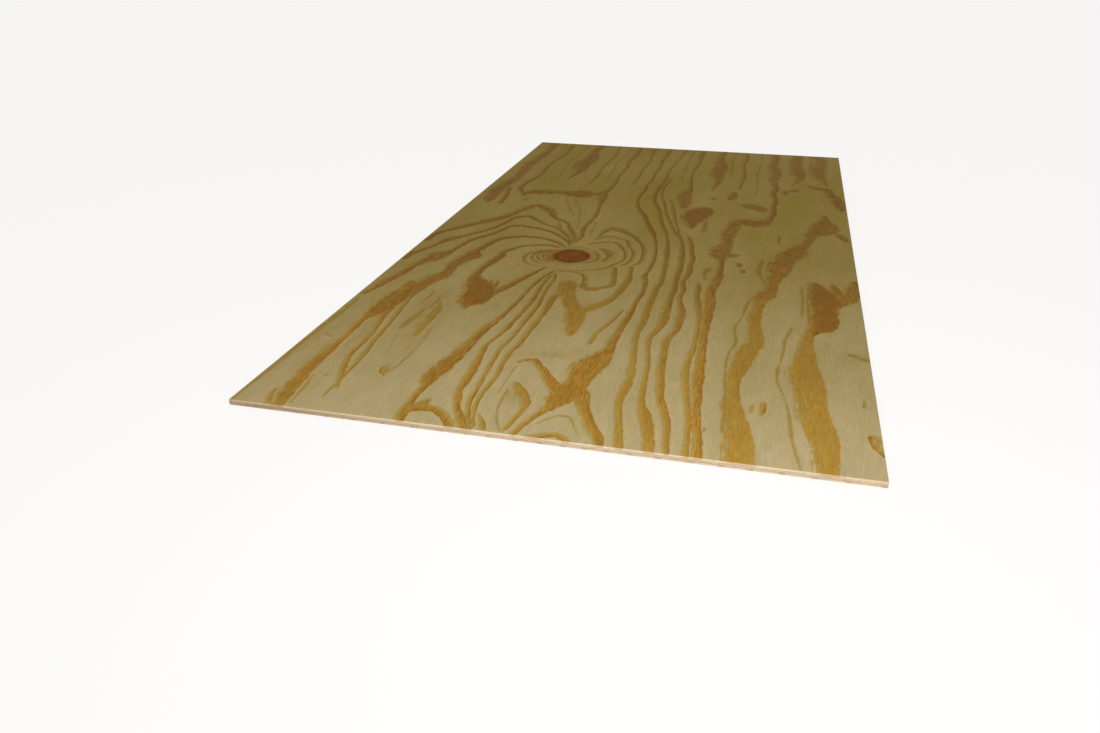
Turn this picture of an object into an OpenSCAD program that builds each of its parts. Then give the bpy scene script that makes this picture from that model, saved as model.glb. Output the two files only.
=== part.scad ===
// Softwood plywood sheet: a cross-grain core veneer glued between a sanded face veneer and a back veneer.
// It lies flat with the face up. X runs across the sheet, Y along the face grain and Z up.
// The origin is the centre of the back face.

/* [Sheet] */
// Width of the sheet, across the face grain (4 ft)
sheet_w = 1219; // [300:1:1525]
// Length of the sheet, along the face grain (8 ft)
sheet_l = 2438; // [600:1:3660]

/* [Veneers] */
// Thickness of the sanded face veneer, grain along the length
face_t = 3.95; // [1.5:0.05:6]
// Thickness of the core veneer, grain across the width
core_t = 4.0; // [1.5:0.05:8]
// Thickness of the back veneer, grain along the length
back_t = 3.95; // [1.5:0.05:6]

/* [Edges] */
// Radius of the arris that sanding and handling leave round the face and the back
arris_r = 0.6; // [0.2:0.1:1.4]

/* [Colours] */
// Face veneer, the clearest pine
face_colour = "#CDB98A"; // color
// Core veneer, darker where it is seen at the sawn edges
core_colour = "#A98A62"; // color
// Back veneer
back_colour = "#D3BC9C"; // color

/* [Hidden] */
// Segments of each arris round
$fn = 32;
// Glue lines, measured up from the back face
back_glue_z = back_t;
face_glue_z = back_t + core_t;

// Section of an outer veneer: glue side on the axis, with both corners of the shown side eased.
module veneer_section(span, thickness) {
    translate([-span / 2, 0])
        square([span, thickness - arris_r]);
    translate([-span / 2 + arris_r, 0])
        square([span - 2 * arris_r, thickness]);
    for (side = [-1, 1])
        translate([side * (span / 2 - arris_r), thickness - arris_r])
            circle(r = arris_r);
}

// Outer veneer with its glue side at Z 0 and its shown side up. The arris runs round all four edges:
// one section is carried along the length, the other across the width, and the sheet is what they share.
module outer_veneer(thickness) {
    intersection() {
        rotate([90, 0, 0])
            linear_extrude(height = sheet_l, center = true)
                veneer_section(sheet_w, thickness);
        rotate([90, 0, 90])
            linear_extrude(height = sheet_w, center = true)
                veneer_section(sheet_l, thickness);
    }
}

// Face veneer, the sanded show side, on top of the core
module face_veneer() {
    color(face_colour)
        translate([0, 0, face_glue_z])
            outer_veneer(face_t);
}

// Core veneer, sawn flush with the outer veneers on all four edges
module core_veneer() {
    color(core_colour)
        translate([-sheet_w / 2, -sheet_l / 2, back_glue_z])
            cube([sheet_w, sheet_l, core_t]);
}

// Back veneer, shown side down
module back_veneer() {
    color(back_colour)
        translate([0, 0, back_glue_z])
            mirror([0, 0, 1])
                outer_veneer(back_t);
}

face_veneer();
core_veneer();
back_veneer();
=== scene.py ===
# Looks of a three-veneer pine plywood sheet that lies flat on a pale floor.
import math

import bpy
import numpy as np
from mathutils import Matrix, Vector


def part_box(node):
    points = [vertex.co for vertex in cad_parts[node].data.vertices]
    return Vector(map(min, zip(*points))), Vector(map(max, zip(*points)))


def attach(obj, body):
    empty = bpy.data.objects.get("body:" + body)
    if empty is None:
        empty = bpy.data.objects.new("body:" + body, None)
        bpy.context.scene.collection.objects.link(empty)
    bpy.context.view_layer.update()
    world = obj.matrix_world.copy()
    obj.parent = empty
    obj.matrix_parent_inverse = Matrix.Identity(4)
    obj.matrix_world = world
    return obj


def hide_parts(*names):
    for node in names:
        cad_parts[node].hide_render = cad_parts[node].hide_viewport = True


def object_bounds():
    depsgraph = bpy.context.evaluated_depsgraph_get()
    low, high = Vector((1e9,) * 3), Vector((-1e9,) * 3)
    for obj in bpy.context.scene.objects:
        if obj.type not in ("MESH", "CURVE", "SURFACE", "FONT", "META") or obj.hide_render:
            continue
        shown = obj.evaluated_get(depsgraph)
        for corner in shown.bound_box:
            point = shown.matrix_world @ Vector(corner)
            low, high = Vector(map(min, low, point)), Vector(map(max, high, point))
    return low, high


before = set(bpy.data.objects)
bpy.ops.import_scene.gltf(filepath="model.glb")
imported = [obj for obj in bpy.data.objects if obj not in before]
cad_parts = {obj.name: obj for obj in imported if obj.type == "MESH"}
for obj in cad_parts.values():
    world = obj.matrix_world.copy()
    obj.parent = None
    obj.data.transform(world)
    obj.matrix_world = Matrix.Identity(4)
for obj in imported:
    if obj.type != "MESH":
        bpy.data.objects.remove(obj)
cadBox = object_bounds()
mm = 0.001
sheetLow, sheetHigh = (np.array(corner) for corner in cadBox)
nearLeft = sheetLow[:2]  # the figure's points are measured from this corner
coreBottom, coreTop = (corner[2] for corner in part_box("core_veneer"))  # the two glue lines
print("frame loaded, sheet", np.round((sheetHigh - sheetLow) / mm, 2), "mm")

# Figure of the face: each band of late wood is a line of (x, y, half width) in mm, from near to far.
faceBands = {
    "leftBand": [(104, -15, 14), (97, 40, 14), (89, 105, 15), (86, 180, 13), (85, 250, 12), (85, 300, 7),
        (88, 345, 5), (84, 400, 7), (85, 450, 9), (96, 500, 24)],
    "leftPeak": [(100, 640, 14), (97, 680, 9), (97, 707, 3)],
    "leftTwin": [(180, 100, 3), (168, 140, 4), (155, 184, 5), (145, 220, 6), (139, 255, 5), (140, 310, 4),
        (138, 365, 4), (131, 415, 5), (121, 465, 7), (112, 510, 14)],
    "leftTwinFine": [(174, 105, 2.5), (171, 200, 3.5), (168, 265, 4), (160, 325, 3.5), (157, 380, 4),
        (150, 470, 4), (145, 520, 4.5), (138, 590, 5), (130, 640, 6)],
    "leftSplinter": [(84, 5, 3), (72, 30, 4), (66, 62, 3)],
    "kneeBand": [(355, -10, 8), (350, 45, 10), (346, 98, 6), (348, 132, 8), (348, 180, 15), (351, 222, 19),
        (359, 272, 17), (368, 330, 13), (371, 382, 11), (377, 440, 10), (389, 505, 8), (398, 570, 6),
        (404, 635, 5), (408, 705, 4), (413, 760, 4), (420, 810, 4), (437, 866, 3)],
    "kneeArch": [(352, 40, 9), (366, 62, 12), (378, 92, 4)],
    "kneeToe": [(372, 58, 13), (398, 58, 10), (421, 42, 9), (439, 20, 9), (456, -8, 9)],
    "fanA": [(484, -8, 6), (456, 48, 7), (442, 74, 6), (430, 115, 7), (421, 152, 6), (421, 188, 8),
        (419, 235, 9), (413, 300, 7), (408, 360, 5), (414, 395, 3), (422, 436, 3.5), (426, 478, 6),
        (430, 525, 4), (436, 600, 5), (437, 660, 5), (434, 755, 3.5), (437, 830, 3)],
    "fanB": [(490, 0, 4), (477, 36, 4), (466, 70, 3.5), (457, 112, 3.5), (454, 170, 4), (450, 225, 3.5),
        (446, 300, 4), (444, 355, 3.5), (452, 415, 3), (454, 500, 4), (458, 610, 5), (454, 690, 4),
        (452, 755, 3), (455, 800, 3.5), (446, 847, 2.5)],
    "loopSide": [(500, 292, 3), (506, 306, 6), (516, 314, 7)],
    "loopCore": [(554, 15, 3), (559, 50, 4), (564, 85, 5), (565, 113, 8), (557, 142, 10), (544, 166, 12),
        (531, 186, 9), (522, 204, 4)],
    "lowCurl": [(516, 5, 3.5), (508, 28, 4), (498, 47, 3), (488, 62, 2)],
    "saddleLeft": [(627, 180, 22), (605, 200, 17), (590, 222, 12), (577, 245, 10), (563, 270, 8),
        (545, 295, 7), (527, 316, 10), (513, 312, 6)],
    "saddle": [(612, 108, 7), (617, 130, 15), (627, 170, 26), (641, 225, 22), (644, 277, 28),
        (651, 322, 33), (662, 352, 24), (669, 380, 17), (674, 415, 11), (673, 455, 10), (677, 510, 8),
        (681, 565, 7), (684, 620, 6), (686, 690, 5), (691, 765, 5), (689, 820, 5), (684, 862, 6),
        (678, 888, 6), (683, 945, 4), (683, 1040, 4.5), (676, 1115, 3.5), (665, 1185, 3.5), (651, 1250, 5),
        (636, 1300, 8), (610, 1380, 8), (592, 1445, 7), (570, 1500, 6), (556, 1550, 5), (546, 1600, 4),
        (542, 1680, 4), (547, 1740, 5), (545, 1820, 4), (552, 1900, 4), (548, 1990, 3.5), (554, 2100, 4.5),
        (546, 2220, 7), (552, 2340, 9), (547, 2450, 8)],
    "saddleToeLeft": [(572, -5, 4), (581, 36, 5), (591, 68, 6), (602, 95, 7), (612, 118, 11)],
    "saddleToeRight": [(735, -10, 8), (722, 32, 10), (706, 62, 10), (692, 94, 9), (681, 122, 10),
        (669, 156, 14), (655, 190, 20)],
    "endArch": [(605, -4, 7), (626, 9, 7), (647, 17, 7), (664, 9, 6), (677, -4, 6)],
    "vPatch": [(573, 462, 5), (571, 490, 13), (567, 540, 19), (560, 581, 22), (548, 622, 20),
        (530, 662, 17), (512, 705, 19), (502, 742, 21), (499, 778, 20), (497, 798, 9)],
    "vArm": [(566, 600, 12), (580, 625, 13), (600, 652, 12), (618, 685, 10), (629, 725, 8), (634, 772, 9),
        (638, 803, 9), (643, 838, 7), (640, 885, 5), (633, 948, 5)],
    "hookLoop": [(455, 870, 1.5), (478, 872, 2.5), (504, 867, 4), (525, 843, 5), (531, 803, 5.5),
        (540, 766, 10), (560, 757, 12), (586, 776, 9), (604, 792, 8), (607, 833, 6), (599, 880, 6),
        (591, 932, 5)],
    "uPatch": [(293, 556, 3), (290, 582, 14), (294, 612, 32), (295, 648, 41), (290, 685, 42),
        (270, 726, 32), (257, 752, 23), (247, 777, 15), (243, 805, 11), (246, 849, 10), (256, 904, 14),
        (264, 952, 12), (263, 985, 8), (278, 1020, 7), (301, 1051, 6), (336, 1069, 6), (374, 1077, 6),
        (402, 1064, 4)],
    "uArm": [(330, 680, 14), (345, 715, 11), (355, 740, 10), (367, 777, 9), (383, 821, 7), (397, 860, 5),
        (408, 890, 3)],
    "uTongues": [(297, 700, 6), (298, 735, 6), (299, 760, 3)],
    "waveF": [(768, -10, 7), (757, 60, 7), (748, 105, 7), (741, 145, 6), (737, 182, 7), (739, 225, 8),
        (741, 258, 8), (739, 300, 7), (736, 345, 6), (731, 385, 6), (726, 425, 5), (722, 470, 5),
        (719, 510, 6), (721, 555, 7), (723, 600, 7), (721, 665, 7), (722, 755, 6), (721, 800, 7),
        (726, 840, 7), (725, 895, 6), (722, 960, 6), (715, 1055, 6), (710, 1100, 7), (706, 1140, 5),
        (699, 1190, 4), (687, 1263, 4), (664, 1348, 5), (647, 1425, 5), (634, 1500, 5), (618, 1560, 6),
        (602, 1610, 6), (593, 1665, 6), (590, 1730, 7), (592, 1815, 6), (600, 1920, 5), (595, 2050, 4),
        (604, 2200, 4.5), (613, 2330, 7), (618, 2450, 9)],
    "waveG": [(821, -10, 9), (811, 60, 10), (802, 104, 11), (793, 138, 10), (783, 170, 7), (777, 205, 5),
        (774, 240, 5), (771, 290, 4), (768, 340, 4), (762, 385, 4), (754, 440, 4), (750, 485, 4),
        (755, 515, 6), (763, 555, 8), (767, 600, 10), (767, 650, 9), (766, 700, 7), (765, 760, 6),
        (767, 802, 6), (763, 860, 6), (762, 940, 6), (761, 1000, 6), (757, 1065, 6), (750, 1130, 5),
        (742, 1190, 4), (728, 1250, 4), (716, 1300, 3)],
    "waveH": [(852, -10, 4), (845, 40, 5), (841, 88, 6), (834, 125, 7), (826, 158, 7), (817, 188, 7),
        (810, 222, 7), (806, 260, 7), (801, 298, 7), (796, 345, 7), (793, 395, 7), (790, 440, 7),
        (789, 490, 7), (794, 517, 6), (802, 545, 6), (804, 600, 8), (804, 645, 9), (798, 690, 7),
        (790, 730, 5), (786, 765, 5), (790, 805, 5), (784, 850, 5), (782, 880, 5), (788, 918, 7),
        (790, 965, 7), (786, 1000, 5), (788, 1045, 5.5), (781, 1095, 5), (775, 1145, 5), (768, 1190, 5),
        (760, 1230, 4), (750, 1262, 2)],
    "twinI": [(904, -10, 9), (899, 62, 8), (893, 105, 8), (887, 148, 8), (884, 185, 8), (881, 230, 9),
        (876, 275, 10), (875, 315, 11), (873, 365, 10), (871, 405, 10), (870, 450, 9), (867, 500, 9),
        (865, 545, 9), (864, 600, 10), (863, 655, 11), (863, 715, 12), (860, 765, 12), (857, 800, 11),
        (859, 842, 11), (864, 880, 12), (866, 910, 13), (867, 950, 9), (867, 1020, 7), (864, 1060, 9),
        (860, 1095, 20), (858, 1122, 28), (858, 1150, 26), (864, 1182, 22), (868, 1225, 15),
        (864, 1275, 18), (870, 1340, 20), (876, 1390, 20), (882, 1432, 20), (915, 1447, 31),
        (950, 1440, 31), (978, 1488, 12), (990, 1556, 9), (988, 1640, 9), (993, 1720, 8), (984, 1805, 9),
        (990, 1900, 11), (978, 1990, 15), (986, 2100, 19), (974, 2230, 17), (980, 2350, 13),
        (972, 2450, 14)],
    "twinILeft": [(885, -5, 4), (880, 62, 5), (876, 124, 5), (868, 182, 5), (861, 228, 6), (854, 278, 6),
        (848, 325, 6), (847, 390, 6), (850, 448, 5), (851, 500, 4), (849, 560, 4), (847, 620, 4),
        (842, 660, 5), (837, 710, 7), (830, 755, 5), (826, 795, 5), (825, 830, 6), (822, 865, 3)],
    "wideJ": [(976, -10, 25), (973, 60, 26), (968, 110, 23), (960, 158, 19), (954, 198, 17), (950, 238, 14),
        (948, 268, 12), (946, 305, 12), (948, 340, 14), (954, 382, 17), (962, 425, 20), (966, 458, 20),
        (973, 494, 20), (979, 528, 18), (978, 572, 15), (973, 620, 13), (973, 670, 13), (977, 722, 11),
        (980, 768, 15), (985, 797, 23)],
    "wideK": [(1125, -10, 17), (1122, 60, 21), (1118, 105, 26), (1112, 148, 28), (1106, 188, 28),
        (1101, 230, 28), (1099, 270, 27), (1097, 314, 29), (1091, 356, 32), (1085, 398, 30),
        (1085, 448, 25), (1088, 498, 20), (1089, 540, 15), (1093, 575, 12), (1097, 605, 10), (1102, 640, 8),
        (1106, 672, 5)],
    "rightPatch": [(1105, 598, 4), (1113, 618, 14), (1127, 644, 26), (1132, 689, 32), (1130, 725, 30),
        (1135, 784, 36), (1139, 819, 39), (1131, 848, 32), (1122, 880, 24), (1117, 908, 20),
        (1115, 922, 17)],
    "rightPatchArm": [(1168, 800, 14), (1188, 834, 22), (1199, 866, 20), (1206, 900, 17), (1210, 935, 13),
        (1210, 968, 7)],
    "markLowRight": [(1007, 186, 3), (1008, 212, 5), (1009, 238, 3)],
    "edgeSpot": [(1197, 152, 3), (1200, 128, 5), (1209, 104, 6), (1222, 84, 7)],
    "spotHigh": [(916, 1024, 6), (914, 1042, 8)],
    "spotMid": [(928, 975, 5), (927, 995, 5)],
    "archLow": [(14, 590, 6), (24, 630, 8), (30, 671, 11), (40, 710, 12), (47, 743, 13), (57, 793, 10),
        (65, 838, 12), (84, 882, 20), (97, 922, 24), (112, 952, 11), (122, 990, 7), (133, 1045, 7.5),
        (146, 1088, 7.5), (166, 1117, 7.5), (186, 1152, 7), (200, 1196, 7), (211, 1228, 7), (236, 1244, 10),
        (262, 1236, 7.5), (292, 1231, 7.5), (322, 1218, 7), (352, 1199, 6), (378, 1172, 5.5),
        (402, 1143, 4.5), (418, 1116, 3.5), (428, 1090, 3)],
    "archMid": [(10, 870, 8), (14, 915, 12), (32, 950, 8), (46, 985, 6.5), (58, 1020, 6), (75, 1068, 15),
        (100, 1098, 9), (121, 1128, 7.5), (146, 1163, 7.5), (166, 1202, 6), (178, 1235, 6), (188, 1270, 6),
        (197, 1312, 6), (210, 1335, 9), (240, 1348, 9), (262, 1324, 7.5), (287, 1298, 6), (318, 1270, 5.5),
        (345, 1252, 5.5), (366, 1228, 4.5), (390, 1192, 3.5), (412, 1150, 3.5), (428, 1115, 3)],
    "archHigh": [(8, 1045, 12), (14, 1100, 8), (30, 1132, 8), (50, 1160, 9), (75, 1200, 16),
        (102, 1232, 12), (128, 1272, 20), (156, 1308, 14), (176, 1352, 15), (192, 1400, 12),
        (210, 1442, 17), (233, 1478, 13), (258, 1458, 16), (284, 1430, 16), (304, 1395, 12), (320, 1358, 9),
        (342, 1330, 8), (362, 1318, 6), (382, 1282, 4), (402, 1238, 4), (420, 1190, 4), (434, 1140, 3)],
    "stemLine": [(440, 1120, 2.5), (444, 1180, 5), (440, 1225, 6), (435, 1265, 6), (438, 1310, 5),
        (441, 1370, 6), (440, 1440, 6), (434, 1510, 5), (428, 1570, 9), (424, 1605, 13), (420, 1645, 15),
        (414, 1695, 14), (425, 1740, 6.5), (430, 1830, 4.5), (424, 1930, 4), (430, 2050, 4.5),
        (424, 2180, 7), (430, 2310, 10), (424, 2450, 9)],
    "topBar": [(150, 1618, 12), (175, 1640, 24), (205, 1648, 30), (240, 1656, 24), (270, 1660, 19),
        (300, 1655, 24), (325, 1650, 38), (350, 1652, 38), (368, 1654, 14), (395, 1665, 10),
        (415, 1680, 10)],
    "topLeft": [(60, 1480, 5), (52, 1540, 19), (48, 1600, 21), (46, 1660, 21), (52, 1730, 19),
        (63, 1860, 16), (56, 2060, 20), (70, 2270, 15), (60, 2450, 19)],
    "topLeftInner": [(106, 1475, 7), (98, 1540, 8), (90, 1610, 8), (78, 1680, 7)],
    "topLeftOuter": [(158, 1590, 7), (136, 1632, 8), (118, 1680, 8), (118, 1760, 8), (138, 1880, 6),
        (132, 2050, 5), (150, 2230, 6), (141, 2450, 8)],
    "loopInner": [(484, 1112, 2.5), (504, 1132, 3.5), (540, 1150, 4), (565, 1130, 4), (585, 1090, 4),
        (597, 1050, 3.5), (600, 1000, 3), (585, 965, 3.5), (560, 918, 3), (511, 893, 2), (474, 886, 1.8),
        (442, 879, 1.5)],
    "loopMiddle": [(494, 1160, 2.5), (510, 1188, 3.5), (530, 1203, 4), (548, 1192, 3.5), (565, 1184, 4),
        (585, 1170, 4), (595, 1125, 4), (614, 1080, 3.5), (620, 1030, 3), (615, 975, 3), (604, 960, 2.5)],
    "loopOuter": [(495, 1185, 2.5), (500, 1225, 4), (506, 1260, 10), (524, 1278, 17), (545, 1268, 15),
        (572, 1245, 8), (596, 1214, 6), (614, 1178, 5.5), (632, 1140, 5), (644, 1080, 4.5), (648, 1025, 4),
        (645, 985, 4), (634, 968, 3)],
    "knotCap": [(527, 1076, 8), (542, 1066, 12), (551, 1046, 11), (557, 1024, 6), (553, 1000, 3.5),
        (546, 980, 3)],
    "knotRightRing": [(508, 1052, 3), (522, 1030, 3), (528, 995, 3), (520, 968, 3), (505, 955, 2.5)],
    "fineE": [(432, 1110, 2.5), (412, 1165, 3), (388, 1210, 3), (364, 1252, 3), (350, 1300, 3)],
    "fineF": [(436, 1120, 2.5), (425, 1165, 3), (408, 1205, 3), (390, 1252, 3), (378, 1300, 2.5)],
    "fineI": [(716, 1262, 3), (693, 1348, 3), (670, 1433, 3), (653, 1513, 3), (636, 1603, 3),
        (622, 1660, 3), (611, 1728, 3), (608, 1815, 3), (620, 1950, 3)],
    "fineJ": [(718, 1310, 2.5), (697, 1400, 3), (682, 1500, 3), (664, 1592, 3), (648, 1660, 2.5)],
    "flame": [(752, 1345, 6), (748, 1395, 18), (746, 1430, 32), (750, 1475, 43), (757, 1515, 44),
        (768, 1550, 34), (775, 1574, 12)],
    "smudgeU": [(893, 1642, 12), (918, 1630, 26), (938, 1618, 24), (955, 1582, 12)],
    "smudgeV": [(842, 1700, 9), (850, 1745, 14), (852, 1795, 8)],
    "smudgeW": [(782, 1705, 10), (795, 1700, 12)],
    "smudgeX": [(703, 1560, 6), (702, 1600, 17), (698, 1650, 22), (694, 1700, 22), (692, 1755, 16),
        (700, 1815, 8), (690, 1920, 4), (684, 2030, 4), (692, 2200, 6), (686, 2330, 10), (690, 2450, 9)],
    "farRight": [(1203, 1645, 6), (1200, 1690, 13), (1197, 1755, 17), (1185, 1815, 17), (1170, 1860, 13),
        (1160, 1912, 17), (1125, 1925, 14), (1100, 1950, 8)],
    "farSpotA": [(1022, 1820, 10), (1020, 1855, 8)],
    "farSpotB": [(1050, 1865, 14), (1062, 1890, 10)],
    "sideSpot": [(1186, 1375, 13), (1206, 1320, 8)],
    "farA": [(248, 1830, 1.5), (258, 1900, 6), (266, 1985, 18), (254, 2090, 30), (268, 2200, 24),
        (258, 2330, 15), (268, 2450, 13)],
    "farB": [(333, 1740, 1.2), (342, 1820, 3), (346, 1920, 4.5), (340, 2050, 4), (351, 2250, 6),
        (340, 2450, 5)],
    "farC": [(492, 1800, 1.2), (498, 1900, 2.5), (494, 2050, 3.5), (501, 2200, 3), (492, 2330, 4.5),
        (498, 2450, 4)],
    "farD": [(776, 1790, 1.5), (780, 1860, 6), (784, 1950, 15), (772, 2080, 26), (780, 2180, 20),
        (766, 2320, 12), (774, 2450, 11)],
    "farE": [(866, 1840, 1.2), (870, 1930, 4), (874, 2050, 6), (862, 2200, 5), (868, 2330, 8),
        (860, 2450, 7)],
    "farF": [(1046, 1925, 1.5), (1058, 1985, 5), (1074, 2060, 14), (1066, 2160, 24), (1056, 2280, 22),
        (1068, 2450, 18)],
    "farG": [(1166, 1950, 1.5), (1158, 2010, 7), (1142, 2100, 18), (1136, 2190, 27), (1152, 2320, 22),
        (1142, 2450, 20)],
    "edgeSpotHook": [(1197, 150, 3), (1207, 146, 3), (1214, 130, 3)],
    "leftSpot": [(39, 331, 3), (47, 326, 6), (54, 321, 4)],
    "tear": [(240, 376, 3), (236, 400, 7), (233, 435, 8), (235, 470, 8), (237, 512, 5), (239, 548, 3)],
    "smudgeLow": [(232, 203, 3), (238, 186, 6), (246, 172, 3)],
    "uTongueRight": [(319, 690, 6), (318, 730, 5), (316, 760, 3)],
    "rightPatchFill": [(1160, 828, 17), (1163, 868, 14), (1160, 905, 10), (1157, 932, 5)],
    "lineE": [(626, 425, 4), (628, 450, 4.5), (629, 480, 4), (638, 520, 3.5), (650, 560, 3.5),
        (657, 600, 3.5), (663, 634, 2.5)],
    "fanC": [(494, 14, 3), (482, 48, 4), (473, 100, 3), (471, 140, 3), (475, 225, 4), (470, 280, 4),
        (471, 340, 4.5), (477, 395, 5), (479, 460, 5), (482, 505, 6), (484, 560, 4), (482, 645, 8),
        (480, 690, 6)],
    "leftBandHigh": [(85, 450, 9), (96, 500, 24), (103, 560, 28), (116, 640, 30), (140, 716, 22),
        (154, 749, 24), (163, 793, 17), (160, 849, 18), (172, 904, 21), (188, 938, 24), (180, 965, 14),
        (190, 1000, 10), (202, 1055, 10), (220, 1105, 9), (262, 1134, 9), (310, 1142, 8), (350, 1130, 7),
        (380, 1114, 6), (405, 1090, 5), (420, 1072, 4)],
    "wideJHigh": [(985, 797, 23), (993, 824, 23), (1003, 850, 16), (1005, 912, 15), (1010, 950, 18),
        (1017, 990, 26), (1022, 1030, 30), (1026, 1075, 30), (1040, 1125, 33), (1056, 1160, 34),
        (1068, 1200, 24), (1078, 1240, 18), (1090, 1265, 14), (1101, 1320, 15), (1114, 1375, 25),
        (1136, 1400, 36), (1148, 1450, 40), (1148, 1505, 18), (1148, 1575, 7)],
    "twinPatch": [(838, 1108, 12), (862, 1114, 20), (888, 1112, 15), (902, 1118, 8)],
}
# Fainter lines of the same figure.
faceFaint = {
    "faintU": [(246, 172, 3), (243, 208, 2.5), (228, 235, 2), (214, 275, 2), (204, 325, 2), (194, 378, 2)],
    "faintURight": [(248, 188, 3), (257, 208, 3), (262, 262, 2), (264, 330, 2), (262, 385, 2),
        (256, 440, 2)],
    "faintTear": [(239, 530, 5), (228, 565, 5), (205, 605, 5)],
    "endArchOuter": [(604, 50, 2), (619, 73, 3), (637, 90, 3.5), (654, 90, 3.5), (668, 72, 3),
        (679, 45, 2.5), (693, 18, 2)],
    "leftOfJ": [(929, 300, 2.5), (926, 350, 2.5), (925, 405, 3), (926, 455, 3), (937, 500, 4),
        (936, 535, 4), (930, 580, 3), (934, 625, 3), (944, 680, 3), (948, 735, 5), (958, 785, 4)],
    "leftOfJHigh": [(986, 905, 4), (976, 945, 5), (966, 990, 8), (968, 1040, 8), (973, 1090, 6)],
    "leftOfK": [(1078, 0, 3), (1065, 80, 3), (1060, 130, 4), (1056, 185, 4), (1052, 230, 3), (1040, 290, 3),
        (1030, 340, 4), (1030, 390, 4), (1035, 435, 3), (1040, 485, 4), (1042, 540, 4), (1050, 590, 4),
        (1058, 630, 3)],
    "rightSpots": [(1165, 512, 4), (1185, 500, 8), (1205, 488, 10), (1219, 480, 8)],
    "rightSpotsLow": [(1192, 255, 4), (1198, 290, 4)],
    "lowSpot": [(905, 95, 4), (907, 112, 3)],
    "twinIHigh": [(836, 900, 4), (828, 940, 5), (833, 975, 10), (840, 990, 5)],
    "knotTop": [(430, 1074, 3), (455, 1082, 4), (490, 1072, 3)],
    "overSpot": [(170, 1525, 7), (178, 1560, 7)],
    "stemRight": [(462, 1210, 2.5), (462, 1262, 3), (455, 1330, 2.5)],
    "faintTearLeft": [(188, 405, 4), (190, 450, 8), (197, 495, 6), (200, 530, 4)],
    "leftRim": [(5, 0, 4), (8, 200, 5), (10, 360, 6), (15, 470, 7), (14, 555, 6)],
    "leftStripes": [(109, 145, 3), (117, 80, 4), (123, 15, 3)],
    "twinTip": [(172, 50, 2), (171, 80, 3), (170, 110, 3)],
    "leftDash": [(128, 152, 3), (135, 142, 4)],
    "markLow": [(985, 190, 4), (987, 218, 4)],
    "loopSideFine": [(499, 150, 1.5), (499, 225, 2), (500, 285, 2.5)],
    "loopCoreLeft": [(546, 8, 2.5), (532, 36, 3), (521, 72, 2.5), (516, 105, 3), (514, 140, 4),
        (514, 175, 3)],
    "inJ": [(938, 100, 4), (936, 200, 5), (930, 300, 4)],
    "patchThreads": [(1078, 690, 3), (1080, 780, 4), (1077, 900, 4)],
    "patchThreadsRight": [(1092, 640, 3), (1093, 720, 4), (1092, 830, 4), (1095, 920, 3)],
    "tearStreak": [(222, 470, 3), (226, 520, 4), (224, 590, 3)],
    "tearStreakLeft": [(176, 560, 3), (182, 610, 4), (180, 650, 3)],
    "tearStreakMid": [(205, 540, 3), (208, 580, 4), (204, 625, 3)],
    "dashHigh": [(1132, 540, 2), (1135, 556, 3)],
    "spurHigh": [(1012, 1250, 4), (1014, 1290, 5), (1012, 1325, 4)],
    "vLeft": [(486, 700, 7), (482, 650, 9), (486, 600, 8), (488, 560, 5)],
    "fineG": [(415, 1255, 2.5), (396, 1375, 3), (370, 1490, 3), (346, 1552, 3), (330, 1600, 3)],
    "fineH": [(372, 1398, 3), (346, 1460, 3), (320, 1535, 3), (305, 1588, 3), (296, 1640, 4)],
    "flameRight": [(785, 1310, 4), (792, 1335, 6), (790, 1375, 7), (788, 1425, 6)],
    "farFaintA": [(205, 1760, 1.5), (208, 1900, 2.5), (196, 2100, 3), (210, 2300, 2.5), (204, 2450, 3)],
    "farFaintB": [(658, 1900, 1.5), (650, 2050, 2.5), (648, 2250, 3), (654, 2450, 2.5)],
    "farFaintC": [(825, 1950, 1.5), (822, 2100, 2.5), (814, 2300, 3), (821, 2450, 2.5)],
    "farFaintD": [(918, 1760, 2), (926, 1900, 3), (917, 2080, 3.5), (926, 2260, 3), (919, 2450, 3)],
    "farFaintE": [(1108, 2120, 1.5), (1112, 2280, 3), (1105, 2450, 3)],
    "farFaintF": [(384, 1820, 1.5), (389, 1980, 3), (379, 2150, 3), (390, 2330, 2.5), (384, 2450, 3)],
}
# Redder bands are above 0 and more olive ones below. The rest are golden.
bandHue = {
    "leftBand": 0.3, "leftBandHigh": 0.55, "leftTwin": -0.2, "leftTwinFine": -0.4, "kneeBand": 0.5,
    "fanA": 0.3, "saddle": 0.3, "vPatch": -0.6, "vArm": -0.8, "hookLoop": -0.7, "lineE": -0.7, "fanC": -0.3,
    "uPatch": 0.8, "uArm": 0.4, "uTongues": 0.6, "waveF": -0.8, "waveG": -0.5, "waveH": -0.4,
    "twinILeft": -0.6, "wideJ": -0.7, "wideJHigh": -0.1, "wideK": -0.7, "rightPatch": 0.9,
    "rightPatchArm": 0.3, "rightPatchFill": -0.3, "archLow": 0.45, "archMid": 0.3, "archHigh": 0.45,
    "topBar": 0.5, "flame": 0.9, "loopOuter": -0.6, "loopInner": -0.3, "loopMiddle": -0.3, "knotCap": -0.8,
    "loopCore": -0.5, "tear": -0.8, "smudgeLow": -0.5, "farRight": 0.5, "farA": 0.2, "farD": -0.3,
    "farF": -0.8, "farG": -0.8,
}
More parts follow.
